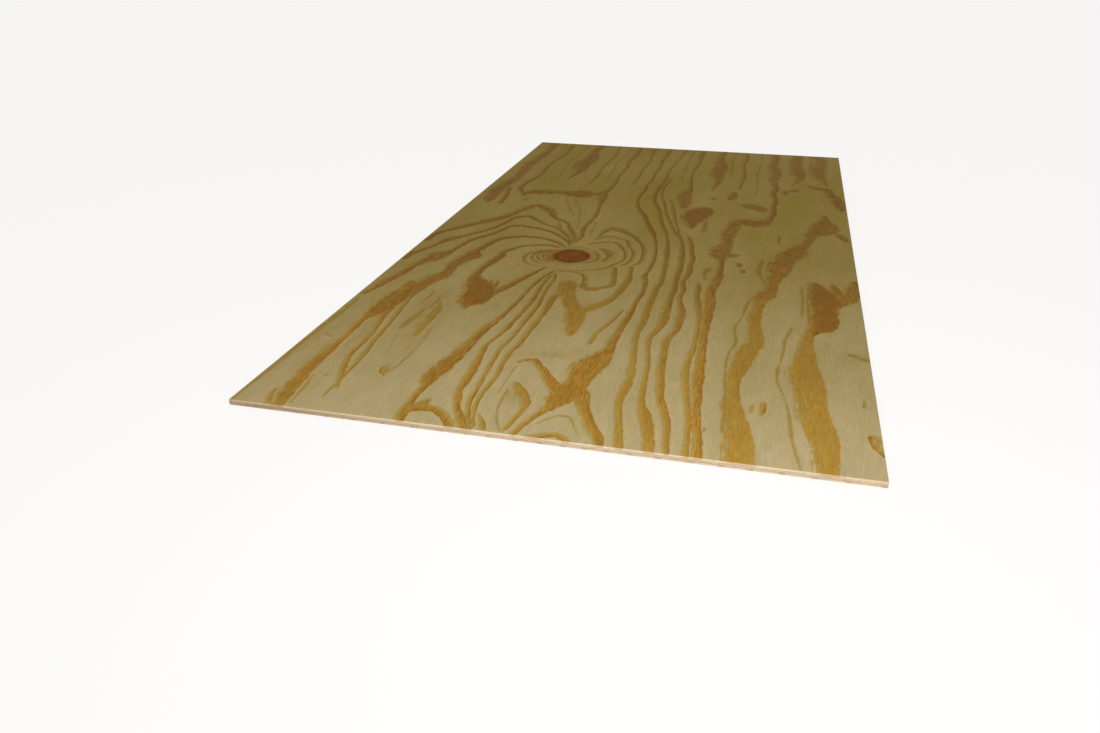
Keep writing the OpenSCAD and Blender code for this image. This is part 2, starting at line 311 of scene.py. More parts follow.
# Soft olive washes in the early wood: (x, y, radius across, radius along, strength) in mm.
faceTints = [
    (238, 420, 30, 130, 0.7), (212, 560, 36, 110, 0.8), (246, 230, 22, 90, 0.3), (112, 400, 16, 110, 0.35),
    (8, 300, 16, 300, 0.35), (529, 158, 18, 44, 0.95), (478, 560, 14, 150, 0.45), (560, 350, 50, 16, 0.8),
    (612, 380, 18, 14, 0.7), (586, 645, 24, 50, 0.55), (505, 755, 26, 60, 0.4), (1090, 800, 22, 170, 0.45),
    (1166, 885, 28, 66, 0.9), (1062, 300, 16, 220, 0.3), (932, 300, 16, 260, 0.35),
    (1196, 492, 26, 26, 0.35), (644, 520, 16, 90, 0.35), (40, 480, 130, 560, 0.6), (836, 950, 16, 70, 0.4),
    (966, 1010, 22, 90, 0.4), (300, 725, 24, 40, 0.4), (128, 110, 22, 70, 0.25),
]
# The knot, with tight half rings on its left.
knot = {
    "centre": (455, 1000),
    "radii": (51, 57),
    "rings": [(399, 1038, 958, 5), (388, 1044, 952, 4), (375, 1042, 944, 3.5), (362, 1040, 934, 3),
              (348, 1038, 918, 3.5), (328, 1034, 896, 3.2)],  # left, top, bottom and half width
    "ringDepth": 0.45,  # share of the way from its left to the centre
}


# Reads a 0 to 255 display colour as the linear colour that shaders take.
def paint(red, green, blue):
    share = np.array((red, green, blue)) / 255
    linear = np.where(share < 0.04045, share / 12.92, ((share + 0.055) / 1.055) ** 2.4)
    return (*(float(part) for part in linear), 1.0)


# A smooth line through a few points: a Catmull-Rom cubic between each pair, cut into about equal steps.
def smoothLine(points, step=7.0, leastHalfWidth=0.8):
    knots = np.array(points, float)
    padded = np.vstack([2 * knots[0] - knots[1], knots, 2 * knots[-1] - knots[-2]])
    pieces = []
    for start in range(len(knots) - 1):
        before, first, second, after = padded[start:start + 4]
        count = max(2, int(np.hypot(*(second - first)[:2]) / step))
        t = np.linspace(0, 1, count, endpoint=False)[:, None]
        pieces.append(0.5 * (2 * first + (second - before) * t
                             + (2 * before - 5 * first + 4 * second - after) * t ** 2
                             + (3 * first - before - 3 * second + after) * t ** 3))
    line = np.vstack(pieces + [knots[-1:]])
    line[:, 2] = np.maximum(line[:, 2], leastHalfWidth)
    return line


# Left half of an ellipse that opens to the right, as points of (x, y, half width), widest at the left.
def halfRing(left, top, bottom, depth, halfWidth):
    turn = np.linspace(0.5 * np.pi, 1.5 * np.pi, 9)
    x = left + depth * (1 + np.cos(turn))
    y = 0.5 * (top + bottom) + 0.5 * (top - bottom) * np.sin(turn)
    return np.stack([x, y, halfWidth * (0.55 - 0.45 * np.cos(turn))], axis=1)


# Depth of each grid point in the bands: half width less the distance to the nearest centre line, in mm.
# The left side of a wide band falls off more slowly, as late wood starts softly and ends sharply.
# Offset is the distance to the right of the nearest band's middle, and broad and hue are that band's own.
# Each line is worked a few steps at a time, on the part of the grid within reach.
def bandField(gridX, gridY, bands, hues, reach=34.0, chunk=10, blankBroad=3.0):
    empty = np.zeros((len(gridY), len(gridX)))
    field = {"depth": empty - reach, "offset": empty.copy(), "broad": empty + blankBroad,
             "hue": empty.copy()}
    for points, bandsHue in zip(bands, hues):
        line = smoothLine(points)
        for start in range(0, len(line) - 1, chunk):
            part = line[start:start + chunk + 1]
            margin = part[:, 2].max() + reach
            columns = slice(*np.searchsorted(gridX, (part[:, 0].min() - margin, part[:, 0].max() + margin)))
            rows = slice(*np.searchsorted(gridY, (part[:, 1].min() - margin, part[:, 1].max() + margin)))
            if columns.start == columns.stop or rows.start == rows.stop:
                continue
            x, y = np.meshgrid(gridX[columns], gridY[rows])
            a, b = part[:-1], part[1:]
            run = (b - a)[:, :2]
            offX = x[..., None] - a[:, 0]
            offY = y[..., None] - a[:, 1]
            t = np.clip((offX * run[:, 0] + offY * run[:, 1]) / (run ** 2).sum(1), 0, 1)
            gapX = offX - t * run[:, 0]
            gapY = offY - t * run[:, 1]
            gap = np.hypot(gapX, gapY)
            half = a[:, 2] + t * (b - a)[:, 2]
            onRight = np.where(gapX * run[:, 1] - gapY * run[:, 0] >= 0, 1.0, -1.0)
            soft = np.clip(1.2 - 0.025 * half, 0.7, 1.0)  # how fast the soft side falls off
            inside = np.where(onRight > 0, np.minimum(half - gap, soft * half), soft * (half - gap))
            best = inside.argmax(-1)[..., None]
            depth, offset, broad = (np.take_along_axis(numbers, best, -1)[..., 0]
                                    for numbers in (inside, onRight * gap, half))
            better = depth > field["depth"][rows, columns]
            found = {"depth": depth, "offset": offset, "broad": broad, "hue": bandsHue}
            for name, numbers in found.items():
                field[name][rows, columns] = np.where(better, numbers, field[name][rows, columns])
    return field


# A sum of bells over the sheet, each (x, y, radius across, radius along, height) in mm.
def bellField(x, y, bells):
    return sum(tall * np.exp(-((x - midX) / radiusX) ** 2 - ((y - midY) / radiusY) ** 2)
               for midX, midY, radiusX, radiusY, tall in bells)


# Depth inside the nearest oval knot, each (x, y, radius across, radius along) in mm. Outside it is negative.
def knotField(x, y, knots, reach=60):
    depth = np.full_like(x, -reach)
    for midX, midY, radiusX, radiusY in knots:
        radius = np.hypot((x - midX) / radiusX, (y - midY) / radiusY)
        depth = np.maximum(depth, np.clip((1 - radius) * radiusX, -reach, reach))
    return depth


# Grid lines from low to high, closer together around some spots: each spot is (place, spread, gain).
def gradedLines(low, high, count, spots):
    t = np.linspace(low, high, 4001)
    density = 1 + sum(gain * np.exp(-((t - place) / spread) ** 2) for place, spread, gain in spots)
    total = np.concatenate([[0], np.cumsum(0.5 * (density[1:] + density[:-1]) * np.diff(t))])
    return np.interp(np.linspace(0, total[-1], count), total, t)


# A smooth random field: a sum of sines in seeded directions, stretched along the second axis.
def softNoise(u, v, scaleU, scaleV, seed, waves=9):
    draw = np.random.default_rng(seed)
    total = np.zeros(np.broadcast(u, v).shape)
    for _ in range(waves):
        turnU, turnV = draw.normal(0, 1, 2)
        total += np.sin(u * turnU / scaleU + v * turnV / scaleV + draw.uniform(0, 2 * np.pi))
    return total / math.sqrt(waves)


# How far a sawn edge falls short of its full size, in metres, at a distance round the rim: a slow wander
# of the saw, and fibres torn out in short bell-shaped bites. Each level takes its own share of the bites.
def sawnRelief(look, around, wanderLength=0.09):
    draw = np.random.default_rng(look["seed"])
    spot = draw.uniform(0, around, look["tears"])
    width = draw.uniform(*look["tearWidth"], look["tears"]) * mm
    deep = look["tearDepth"] * draw.uniform(0.2, 1.0, look["tears"]) ** 2

    def relief(along, share):
        wander = 0.5 + 0.3 * softNoise(along, 0 * along, wanderLength, 1.0, look["seed"])
        bites = (deep * np.exp(-((along[:, None] - spot) / width) ** 2)).max(1)
        return mm * (look["wander"] * np.clip(wander, 0, 1) + share * bites)

    return relief


# Dark dirt along the edge: given amounts along the near end, a slow random wash elsewhere.
def edgeStain(x, y, outY, look, washLength=0.12):
    wash = np.clip(0.18 + 0.22 * softNoise(x, y, washLength, washLength, look["seed"]), 0, 0.6)
    places, amounts = zip(*look["nearStain"])
    return np.where(outY < -0.5, np.interp((x - nearLeft[0]) / mm, places, amounts), wash)


# The wall of an outer veneer as (outward offset, height) in metres, from the shown face to the glued one:
# a quarter round for the eased arris, then straight.
def easedWall(arris, shown, glued):
    radius = mm * arris
    way = np.sign(glued - shown)
    turn = np.linspace(0, 0.5 * np.pi, 4)[1:]
    profile = [(radius * math.sin(a), shown + way * radius * (1 - math.cos(a))) for a in turn]
    return profile + [(radius, 0.5 * (shown + glued)), (radius, glued)]


# Puts named numbers onto a mesh's points, where materials read them.
def addAttributes(mesh, values):
    for name, numbers in values.items():
        made = mesh.attributes.new(name, "FLOAT", "POINT")
        made.data.foreach_set("value", np.ascontiguousarray(numbers, np.float32))


# A veneer as a closed shell: a grid over the shown face, a wall that is a profile carried round the grid's
# rim, and one flat face on the glued side. Without a face height both sides are flat, with no figure.
# The relief of the sawn edge moves the wall's points inwards.
def veneerMesh(name, lineX, lineY, faceHeight, profile, look, faceUp, figure, sharpFrom=35):
    columns, rows = len(lineX), len(lineY)
    x, y = np.meshgrid(nearLeft[0] + lineX * mm, nearLeft[1] + lineY * mm)
    number = np.arange(rows * columns).reshape(rows, columns)
    grid = np.stack([x, y, np.zeros_like(x) if faceHeight is None else faceHeight], axis=-1).reshape(-1, 3)
    # the rim runs along the near end, then the right edge, far end and left edge
    rim = np.concatenate([number[0, :-1], number[:-1, -1], number[-1, :0:-1], number[:0:-1, 0]])
    around = len(rim)
    border = grid[rim]
    outX = np.select([border[:, 0] == x[0, 0], border[:, 0] == x[0, -1]], [-1.0, 1.0], 0.0)
    outY = np.select([border[:, 1] == y[0, 0], border[:, 1] == y[-1, 0]], [-1.0, 1.0], 0.0)
    along = np.concatenate([[0], np.cumsum(np.hypot(*np.diff(border[:, :2], axis=0).T))])
    relief = sawnRelief(look, along[-1])
    rings = []
    for (offset, height), share in zip(profile, look["levels"]):
        reach = offset - relief(along, share)
        across = np.stack([outX * reach, outY * reach, np.zeros(around)], axis=1)
        rings.append(border * (1, 1, 0) + across + (0, 0, height))
    head = 0 if faceHeight is None else len(grid)
    points = np.vstack([grid[:head]] + rings)
    loops = head + np.arange(len(profile) * around).reshape(len(profile), around)
    if faceHeight is None:
        caps = [loops[0].tolist()]
        quads = []
    else:
        caps = []
        quads = [np.stack([number[:-1, :-1], number[:-1, 1:], number[1:, 1:], number[1:, :-1]], axis=-1)]
        loops = np.vstack([rim, loops])
    upper, lower = loops[:-1], loops[1:]
    quads.append(np.stack([upper, lower, np.roll(lower, -1, 1), np.roll(upper, -1, 1)], axis=-1))
    faces = np.vstack([part.reshape(-1, 4) for part in quads])
    caps.append(loops[-1][::-1].tolist())
    if not faceUp:
        faces = faces[:, ::-1]
        caps = [cap[::-1] for cap in caps]
    mesh = bpy.data.meshes.new(name)
    mesh.from_pydata(points.tolist(), [], faces.tolist() + caps)
    source = np.concatenate([np.arange(head)] + [rim] * len(profile)).astype(int)
    values = {key: numbers.reshape(-1)[source] for key, numbers in figure.items()}
    ends = np.abs(outY) if figure else 1 - np.abs(outY)  # the core shows its end grain on the long edges
    stain = edgeStain(border[:, 0], border[:, 1], outY, look)
    for key, numbers in (("edge", np.ones(around)), ("endGrain", ends), ("stain", stain)):
        values[key] = np.concatenate([np.zeros(head), np.tile(numbers, len(profile))])
    addAttributes(mesh, values)
    mesh.shade_smooth()
    mesh.set_sharp_from_angle(angle=math.radians(sharpFrom))
    piece = bpy.data.objects.new(name, mesh)
    bpy.context.scene.collection.objects.link(piece)
    return piece


bench = {}  # holds the node tree that the helpers below add to


# A node's output. Sums of these, and of plain numbers, become Math nodes.
class Wire:
    def __init__(self, socket):
        self.socket = socket

    def __add__(self, other):
        return maths("ADD", self, other)

    def __sub__(self, other):
        return maths("SUBTRACT", self, other)

    def __rsub__(self, other):
        return maths("SUBTRACT", other, self)

    def __mul__(self, other):
        return maths("MULTIPLY", self, other)

    def __truediv__(self, other):
        return maths("DIVIDE", self, other)

    __radd__ = __add__
    __rmul__ = __mul__


# Gives a socket a wire or a plain value.
def plug(socket, value):
    if isinstance(value, Wire):
        bench["tree"].links.new(value.socket, socket)
    else:
        socket.default_value = value


# Adds a shader node, laid out in rows of ten. Its sockets are given by name or number.
def put(kind, sockets=None, **settings):
    nodes = bench["tree"].nodes
    made = nodes.new("ShaderNode" + kind)
    made.location = (190 * (len(nodes) % 10), -240 * (len(nodes) // 10))
    for name, value in settings.items():
        setattr(made, name, value)
    for name, value in (sockets or {}).items():
        plug(made.inputs[name], value)
    return made


# The wire from one of a node's outputs, by name or number.
def wire(made, output=0):
    return Wire(made.outputs[output])


# One sum, as a Math node.
def maths(operation, a, b=0.0):
    return wire(put("Math", {0: a, 1: b}, operation=operation))


# The larger of two numbers.
def larger(a, b):
    return maths("MAXIMUM", a, b)


# One part of a vector: 0 is across the sheet, 1 along it and 2 up.
def axis(vector, number):
    return wire(put("SeparateXYZ", {0: vector}), number)


# A number that a mesh's points hold.
def attribute(name):
    return wire(put("Attribute", attribute_name=name), "Fac")


# 0 below low, 1 above high and smooth between. With low above high it runs the other way.
def fade(value, low, high):
    sockets = {"Value": value, "From Min": low, "From Max": high}
    return wire(put("MapRange", sockets, interpolation_type="SMOOTHSTEP"))


# Mixes two colours: a where the share is 0 and b where it is 1.
def blend(share, a, b, how="MIX"):
    return wire(put("Mix", {0: share, 6: a, 7: b}, data_type="RGBA", blend_type=how), 2)


# Makes a colour lighter or darker by a number around zero.
def shaded(colour, amount, strength):
    level = strength * amount + 1
    grey = wire(put("CombineColor", {0: level, 1: level, 2: level}))
    return blend(1.0, colour, grey, "MULTIPLY")


# Noise between about -2 and 2, with its own waves per metre on each axis.
def grit(vector, waves, detail, seed):
    shift = (seed, 1.7 * seed, 2.3 * seed)
    moved = wire(put("VectorMath", {0: vector, 1: waves, 2: shift}, operation="MULTIPLY_ADD"))
    return 4 * wire(put("TexNoise", {"Vector": moved, "Scale": 1.0, "Detail": detail})) - 2


# A node group that takes a place and named numbers, and gives the named numbers that its formula returns.
def nodeGroup(name, takes, formula):
    tree = bpy.data.node_groups.new(name, "ShaderNodeTree")
    bench["tree"] = tree
    tree.interface.new_socket("Vector", in_out="INPUT", socket_type="NodeSocketVector")
    for title in takes:
        tree.interface.new_socket(title, in_out="INPUT", socket_type="NodeSocketFloat")
    given = tree.nodes.new("NodeGroupInput").outputs
    results = formula(*(Wire(given[title]) for title in ("Vector", *takes)))
    for title in results:
        tree.interface.new_socket(title, in_out="OUTPUT", socket_type="NodeSocketFloat")
    last = tree.nodes.new("NodeGroupOutput")
    for title, value in results.items():
        plug(last.inputs[title], value)
    return tree


# Places a node group, and gives its outputs by name.
def useGroup(group, sockets):
    made = put("Group", sockets, node_tree=group)
    return {socket.name: Wire(socket) for socket in made.outputs}


# Fibres of pine along the second axis, each a noise of its own length and fineness.
def pineFibre(place):
    return {
        "Comb": grit(place, (140, 18, 140), 2, 4.1),
        "Streak": grit(place, (390, 34, 390), 2, 1.3),
        "Nick": grit(place, (75, 42, 75), 4, 6.4),
        "Hair": grit(place, (1500, 30, 1500), 1, 5.9),
        "Cloud": grit(place, (6, 2, 6), 2, 7.7),
        "Mottle": grit(place, (38, 11, 38), 3, 3.3),
        "Dash": fade(grit(place, (330, 40, 330), 2, 9.2), 0.35, 0.9),
    }


# Turns the depth in a band into late wood. Threads run along the band, each at its own offset from the
# middle. They and the fibres make the edges ragged and split the soft left side into lines. The right side
# has a darker rim. Beside the band the early wood has an olive fringe, a pale strip and threads of its own.
def lateWoodFigure(place, depth, slope, offset, broad, comb, streak, nick):
    along = axis(place, 1)
    path = wire(put("CombineXYZ", {0: mm * offset, 1: along, 2: axis(place, 0)}))
    thread = grit(path, (330, 6.5, 16), 2, 2.7)
    side = offset / broad  # -1 and 1 are the band's two edges
    onLeft = 1 - fade(side, -0.5, 0.5)
    wide = fade(broad, 8, 18)
    far = fade(along, -0.6, 0.1)
    # depth with ragged edges
    feather = comb * (6 * far + 2.5) * (0.75 * wide + 0.25)
    swing = maths("MINIMUM", 0.25 * broad + 1, 5.5) * (0.5 * onLeft + 0.7) * (0.4 * far + 1)
    ruffle = 0.75 * streak + 0.55 * comb + 0.8 * nick + thread * (0.6 * onLeft + 0.2)
    rough = depth + slope * feather + ruffle * swing
    # early wood that splits the band: threads by its soft edge, hairs and slivers
    reach = 0.85 - 0.7 * fade(depth / broad, 0.1, 0.6)
    split = fade(0.4 * streak + thread, 0.45, 1.1) * reach * (0.5 * onLeft + 0.5)
    sliver = fade(grit(place, (240, 15, 240), 1, 11.3), 0.9, 1.15)
    split = larger(larger(split, 0.3 * fade(streak, 0.55, 1.1)), 0.8 * sliver)
    edge = rough * (1 - 0.4 * onLeft * (1 - wide))
    loose = far * (5.3 * wide + 0.6)
    late = fade(edge, -1.1 - loose, 1.2 + loose) * (1 - split) * (1 - 0.14 * far * wide)
    thin = 1 - fade(maths("ABSOLUTE", rough - 0.8), 0.5, 2.4)
    # tone from light to dark: across a narrow band, along the fibres of a wide one
    uneven = (0.35 * thread + 0.45 * streak) * (0.6 * far - 1)
    lean = 0.36 * side + uneven + 0.55
    plain = 0.3 * nick + 0.6 * uneven + 0.66
    beside = 1 - late
    lines = fade(0.5 * streak + thread, 0.5, 1.2) * fade(depth, -12, -2) * (0.7 * onLeft + 0.3)
    return {
        "Late": late,
        "Rim": fade(side, 0, 0.7) * thin * fade(streak, -0.9, 0.4) * (1 - 0.7 * wide),
        "Tone": fade(lean + wide * (plain - lean), 0, 1),
        "Near": fade(rough, -16, -1) * beside,
        "Fringe": fade(rough, -6.5, -0.8) * (0.85 * onLeft + 0.15) * beside,
        "Thread": lines * beside,
        "Pale": fade(rough, -11, -2) * (1 - onLeft) * (1 - wide) * beside,
        "Ripe": (1.5 * wide - 0.5) * far,
    }


# A sawn edge: lines along it, spots across it, pits where fibres are torn out and slow patches.
def sawnEdgeMarks(place):
    return {
        "Line": grit(place, (45, 45, 1300), 2, 2.2),
        "Spot": grit(place, (520, 520, 420), 2, 3.4),
        "Pit": fade(grit(place, (150, 150, 480), 2, 6.6), 0.45, 1.0),
        "Patch": grit(place, (9, 9, 9), 2, 8.3),
    }


fibre = nodeGroup("pineFibre", (), pineFibre)
lateWoodTakes = ("Depth", "Slope", "Offset", "Broad", "Comb", "Streak", "Nick")
lateWood = nodeGroup("lateWood", lateWoodTakes, lateWoodFigure)
sawnEdge = nodeGroup("sawnEdge", (), sawnEdgeMarks)
print("node groups made")


# Starts a material, and gives it with its shader.
def newMaterial(name):
    material = bpy.data.materials.new(name)
    material.use_nodes = True
    bench["tree"] = material.node_tree
    return material, material.node_tree.nodes["Principled BSDF"]


# Gives a shader its colour, roughness and bump, with one level of sheen all over.
def finishShader(shader, colour, roughness, relief, look):
    plug(shader.inputs["Base Color"], colour)
    plug(shader.inputs["Roughness"], roughness)
    shader.inputs["Specular IOR Level"].default_value = look["sheen"]
    bump = put("Bump", {"Height": relief, "Strength": look["bump"], "Distance": look["bumpHeight"]})
    plug(shader.inputs["Normal"], wire(bump))


# How strongly each mark shows on a sawn edge
edgeShare = {
    "line": 0.55,
    "stain": 0.85,
    "pit": 0.6,
    "glue": 0.6,
    "glueHalf": (0.0007, 0.0001),  # where a glue line ends and where it is whole, m from its middle
    "spot": 0.10,
    "patch": 0.06,
}


# Colour of a sawn edge, between side grain and end grain by the attribute "endGrain".
def edgeColour(place, look):
    sawn = useGroup(sawnEdge, {"Vector": place})
    height, glue = look["glue"]
    off = maths("ABSOLUTE", axis(place, 2) - height)
    colour = blend(attribute("endGrain"), look["sideGrain"], look["endGrain"])
    colour = blend(edgeShare["line"] * fade(sawn["Line"], 0, 1.2), colour, look["edgeLine"])
    colour = blend(edgeShare["stain"] * attribute("stain"), colour, look["edgeStain"])
    colour = blend(edgeShare["pit"] * sawn["Pit"], colour, look["edgePit"])
    colour = blend(edgeShare["glue"] * fade(off, *edgeShare["glueHalf"]), colour, glue)
    colour = shaded(colour, sawn["Spot"], edgeShare["spot"])
    return shaded(colour, sawn["Patch"], edgeShare["patch"]), sawn


# How strongly each part of the figure shows
woodShare = {
    "grey": 0.6,  # greyer patches of early wood
    "dash": 0.12,  # short dashes all over, and more of them beside late wood
    "nearDash": 0.6,
    "pale": 0.45,
    "fringe": 0.85,
    "faintLine": 0.8,
    "thread": 0.7,
    "solidTone": 0.85,  # red patches are of one tone, and whole
    "solid": 0.9,
    "narrow": 0.34,  # narrow bands are darker along the middle of the sheet
    "ember": 0.6,  # orange streaks, fewer in red patches
    "emberLoss": 0.45,
    "rim": 0.32,
    "far": 0.86,  # how much of the painted shade the far end takes
    # random change in the share of painted shade
    "cloud": 0.12,
    "halo": 0.7,  # redder wood round a knot
    "edgeLate": 0.3,
    "edgeRoughness": 0.2,
    "lateGloss": 0.05,
}


# Pine whose figure comes from the attributes of a veneer's points, with sawn edges. Early and late wood are
# mixed first, then given painted shade that makes them darker and yellower towards the far end, and the
# knots and edges are laid over them.
def pineMaterial(name, look):
    material, shader = newMaterial(name)
    place = wire(put("TexCoord"), "Object")
    along = axis(place, 1)
    grain = useGroup(fibre, {"Vector": place})
    comb, streak, nick, mottle = (grain[kind] for kind in ("Comb", "Streak", "Nick", "Mottle"))
    fibres = {"Vector": place, "Comb": comb, "Streak": streak, "Nick": nick}
    depth, broad = attribute("depth"), attribute("broad")
    figure = useGroup(lateWood, {**fibres, "Depth": depth, "Slope": attribute("slope"),
                                 "Offset": attribute("offset"), "Broad": broad})
    lines = useGroup(lateWood, {**fibres, "Depth": attribute("faintDepth"), "Slope": 0.3,
                                "Offset": attribute("faintOffset"), "Broad": 3.0})
    early = blend(woodShare["grey"] * fade(mottle, -0.5, 1.2), look["early"], look["earlyGrey"])
    for share, tone in (
            (attribute("tint") * fade(0.6 * streak + 0.5 * comb + 0.6, 0, 1.2), "faint"),
            (woodShare["nearDash"] * grain["Dash"] * figure["Near"], "faint"),
            (woodShare["dash"] * grain["Dash"], "faint"),
            (woodShare["pale"] * figure["Pale"], "earlyPale"),
            (woodShare["fringe"] * figure["Fringe"], "fringe"),
            (woodShare["faintLine"] * lines["Late"], "faint"),
            (woodShare["thread"] * figure["Thread"], "faint")):
        early = blend(share, early, look[tone])
    # late wood
    hue = attribute("hue")
    solid = fade(hue, 0.25, 0.75) * fade(depth, 2, 10)
    hue = hue + 0.25 * mottle + 0.9 * figure["Ripe"]
    dark = blend(fade(hue, -1.1, 0.1), look["lateOlive"], look["late"])
    dark = blend(fade(hue, 0, 1.1), dark, look["lateRed"])
    dark = blend(larger(figure["Tone"], woodShare["solidTone"] * solid), look["lateLight"], dark)
    narrow = fade(along, -0.95, -0.15) * fade(along, 1.1, 0.4) * fade(broad, 16, 7)
    dark = blend(woodShare["narrow"] * narrow, dark, look["lateRim"])
    ember = fade(0.3 * streak + mottle - 0.7 * along, 0.3, 1.9)
    dark = blend(ember * (woodShare["ember"] - woodShare["emberLoss"] * solid), dark, look["lateOrange"])
    # both, and painted shade along the sheet: darker and yellower towards the far end
    wood = blend(larger(figure["Late"], woodShare["solid"] * solid), early, dark)
    wood = blend(woodShare["rim"] * figure["Rim"], wood, look["lateRim"])
    for amount, strength in ((streak, 0.09), (mottle, 0.04), (comb, 0.035), (grain["Hair"], 0.04)):
        wood = shaded(wood, amount, strength)
    # painted shade: its share rises towards the far end, with a random cloud on it
    deep = woodShare["far"] * maths("POWER", fade(along, -1.26, 0.4), 0.5)
    deep = deep + woodShare["cloud"] * grain["Cloud"] - 0.04
    wood = blend(1.0, wood, blend(deep, (1.0, 1.0, 1.0, 1.0), look["paintedFarShade"]), "MULTIPLY")
    # knots
    gap = attribute("knotDepth") + 2 * comb
    ringed = maths("SINE", 1.1 * gap)
    gap = gap + 4 * nick
    heart = blend(fade(gap, 4, 22), look["knotRim"], look["knot"])
    heart = shaded(shaded(heart, ringed, 0.1), nick, 0.25)
    wood = blend(woodShare["halo"] * fade(gap, -24, 0), wood, look["lateRed"])
    wood = blend(fade(gap, -4, 5), wood, heart)
    # edges
    edge, sawn = edgeColour(place, look)
    edge = blend(woodShare["edgeLate"] * figure["Late"], edge, look["late"])
    onEdge = attribute("edge")
    roughness = look["roughness"] - woodShare["lateGloss"] * figure["Late"]
    roughness = roughness + woodShare["edgeRoughness"] * onEdge
    relief = figure["Late"] + 0.3 * streak + 0.3 * grain["Hair"]
    relief = relief + onEdge * (1.5 * sawn["Spot"] + sawn["Line"])
    finishShader(shader, blend(onEdge, wood, edge), roughness, relief, look)
    return material


# Pine of which only the sawn edges show.
def coreMaterial(look):
    material, shader = newMaterial("corePine")
    colour, sawn = edgeColour(wire(put("TexCoord"), "Object"), look)
    finishShader(shader, colour, look["roughness"], sawn["Line"] + sawn["Spot"], look)
    return material


# Gives a piece its material and its place in the frame.
def fit(piece, node, material):
    piece.data.materials.append(material)
    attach(piece, "root")
    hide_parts(node)
    piece.data.calc_loop_triangles()
    print(piece.name, "made,", len(piece.data.loop_triangles), "triangles")


# Face veneer
faceVeneer = {
    "columns": 424,
    "rows": 206,
    "acrossSpots": [(480, 210, 0.9)],  # place, spread and gain of the finer grid lines
    "alongSpots": [(1010, 150, 2.6), (1180, 330, 1.0), (30, 170, 1.4)],
    "lateRise": 0.03,  # how far late wood stands above early wood, mm
    "arris": 0.6,
    "seed": 11,
    "wander": 0.08,  # of the saw, mm
    "tears": 420,
    "tearWidth": (1.5, 7.0),
    "tearDepth": 0.5,
    "levels": (1.0, 0.8, 0.6, 0.4, 0.9),  # share of the tears taken by each level of the wall
    "nearStain": [(0, 0.35), (160, 0.3), (300, 0.1), (700, 0.0), (1219, 0.05)],  # place and amount
    "early": paint(185, 170, 126),
    "earlyGrey": paint(191, 169, 132),
    "earlyPale": paint(202, 180, 132),
    "paintedFarShade": (0.48, 0.40, 0.02, 1.0),  # painted shade: the wood is this much deeper and yellower at the far end, where the light falls off
    "faint": paint(162, 133, 58),
    "fringe": paint(167, 141, 56),
    "lateLight": paint(179, 147, 66),
    "late": paint(158, 114, 34),
    "lateOlive": paint(171, 139, 58),
    "lateOrange": paint(182, 128, 42),
    "lateRed": paint(146, 100, 30),
    "lateRim": paint(116, 85, 25),
    "knot": paint(117, 66, 8),
    "knotRim": paint(92, 56, 2),
    "sideGrain": paint(222, 198, 156),
    "endGrain": paint(243, 224, 192),
    "edgeLine": paint(206, 176, 136),
    "edgeStain": paint(126, 96, 66),
    "edgePit": paint(166, 120, 80),
    "glue": (coreTop, paint(128, 92, 60)),  # height and colour of the glue line
    "roughness": 0.66,
    "sheen": 0.04,
    "bump": 0.5,
    "bumpHeight": 0.00008,
}


# Figure of the face: depth in the drawn bands and fainter lines, olive washes and the knot.
def makeFace():
    low, high = (np.array(corner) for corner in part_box("face_veneer"))
    size = (high - low) / mm
    arris = faceVeneer["arris"]
    lineX = gradedLines(arris, size[0] - arris, faceVeneer["columns"], faceVeneer["acrossSpots"])
    lineY = gradedLines(arris, size[1] - arris, faceVeneer["rows"], faceVeneer["alongSpots"])
    x, y = np.meshgrid(lineX, lineY)
    rings = [halfRing(left, top, bottom, knot["ringDepth"] * (knot["centre"][0] - left), halfWidth)
             for left, top, bottom, halfWidth in knot["rings"]]
    hues = [bandHue.get(name, 0.0) for name in faceBands] + [0.0] * len(rings)
    figure = bandField(lineX, lineY, [*faceBands.values(), *rings], hues)
    faint = bandField(lineX, lineY, faceFaint.values(), [0.0] * len(faceFaint))
    figure["slope"] = np.gradient(figure["depth"], lineY, axis=0)
    figure["faintDepth"] = faint["depth"]
    figure["faintOffset"] = faint["offset"]
    figure["tint"] = np.clip(bellField(x, y, faceTints), 0, 0.9)
    figure["knotDepth"] = knotField(x, y, [knot["centre"] + knot["radii"]])
    height = high[2] - mm * faceVeneer["lateRise"] * np.clip(0.5 - 0.4 * figure["depth"], 0, 1)
    wall = easedWall(arris, high[2], low[2])
    piece = veneerMesh("faceVeneer", lineX, lineY, height, wall, faceVeneer, True, figure)
    fit(piece, "face_veneer", pineMaterial("facePine", faceVeneer))


# Core veneer: its grain runs across the sheet
coreVeneer = {
    "columns": 520,
    "rows": 700,
    "seed": 23,
    "wander": 0.25,
    "tears": 520,
    "tearWidth": (2.0, 12.0),
    "tearDepth": 1.1,
    "levels": (0.5, 1.0, 0.8, 0.4),
    "levelDepths": (0, 0.35, 0.7, 1),  # from its upper side to its lower
    "nearStain": [(0, 0.45), (60, 0.65), (190, 0.5), (300, 0.3), (620, 0.1), (760, 0.1), (900, 0.2),
                  (1219, 0.05)],
    "sideGrain": paint(234, 211, 182),
    "endGrain": paint(200, 172, 136),
    "edgeLine": paint(186, 152, 120),
    "edgeStain": paint(116, 86, 60),
    "edgePit": paint(134, 96, 66),
    "glue": (coreBottom, paint(126, 90, 60)),
    "roughness": 0.8,
    "sheen": 0.25,
    "bump": 0.6,
    "bumpHeight": 0.00015,
}


